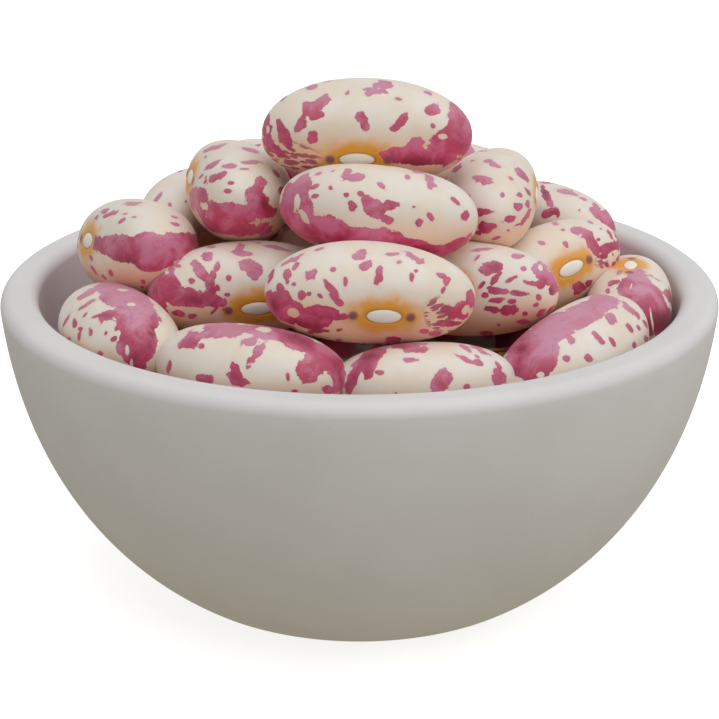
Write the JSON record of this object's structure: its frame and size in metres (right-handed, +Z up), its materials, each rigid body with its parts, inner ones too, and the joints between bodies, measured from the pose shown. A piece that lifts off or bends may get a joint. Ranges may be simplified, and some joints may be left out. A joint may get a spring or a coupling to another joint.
{
  "type": "bowl of dried beans",
  "caption": "Small round ceramic bowl with a thick rounded rim, heaped with large speckled dried beans.",
  "frame": {"origin": "middle of the flat foot, on the surface that the bowl stands on", "axes": "+Z up along the bowl's axis, -Y towards the shown front of the heap"},
  "size_m": [0.062, 0.062, 0.0454],
  "materials": {
    "bowl_ceramic": "matte off-white unglazed stoneware",
    "bean_coat": "satin cream seed coat, speckled with rose and magenta"
  },
  "bodies": {
    "root": {"bowl": "bowl_ceramic", "bean_heap": "bean_coat"}
  },
  "joints": []
}
